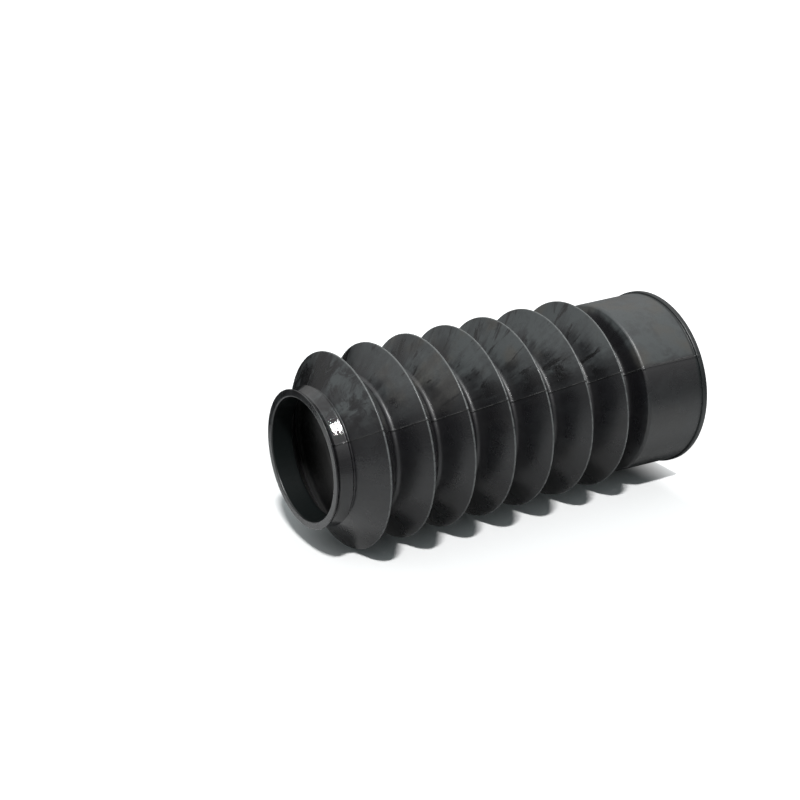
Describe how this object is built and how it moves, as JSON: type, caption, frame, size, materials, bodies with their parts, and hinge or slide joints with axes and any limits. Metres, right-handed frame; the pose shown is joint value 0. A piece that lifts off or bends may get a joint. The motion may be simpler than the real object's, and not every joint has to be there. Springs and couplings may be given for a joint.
{
  "type": "fork gaiter",
  "caption": "Moulded rubber bellows for a motorcycle fork leg: a wide cuff, a row of folds and a narrow clamp neck, open right through.",
  "frame": {"origin": "centre of the wide cuff's ring face, on which the gaiter stands", "axes": "+Z along the bellows from the wide cuff up to the neck; the mould's parting lines lie at +Y and -Y"},
  "size_m": [0.08, 0.0804, 0.1748],
  "materials": {
    "rubber": "satin black moulded rubber with a thin grey bloom on the flanks"
  },
  "bodies": {
    "root": {"gaiter": "rubber"}
  },
  "joints": []
}
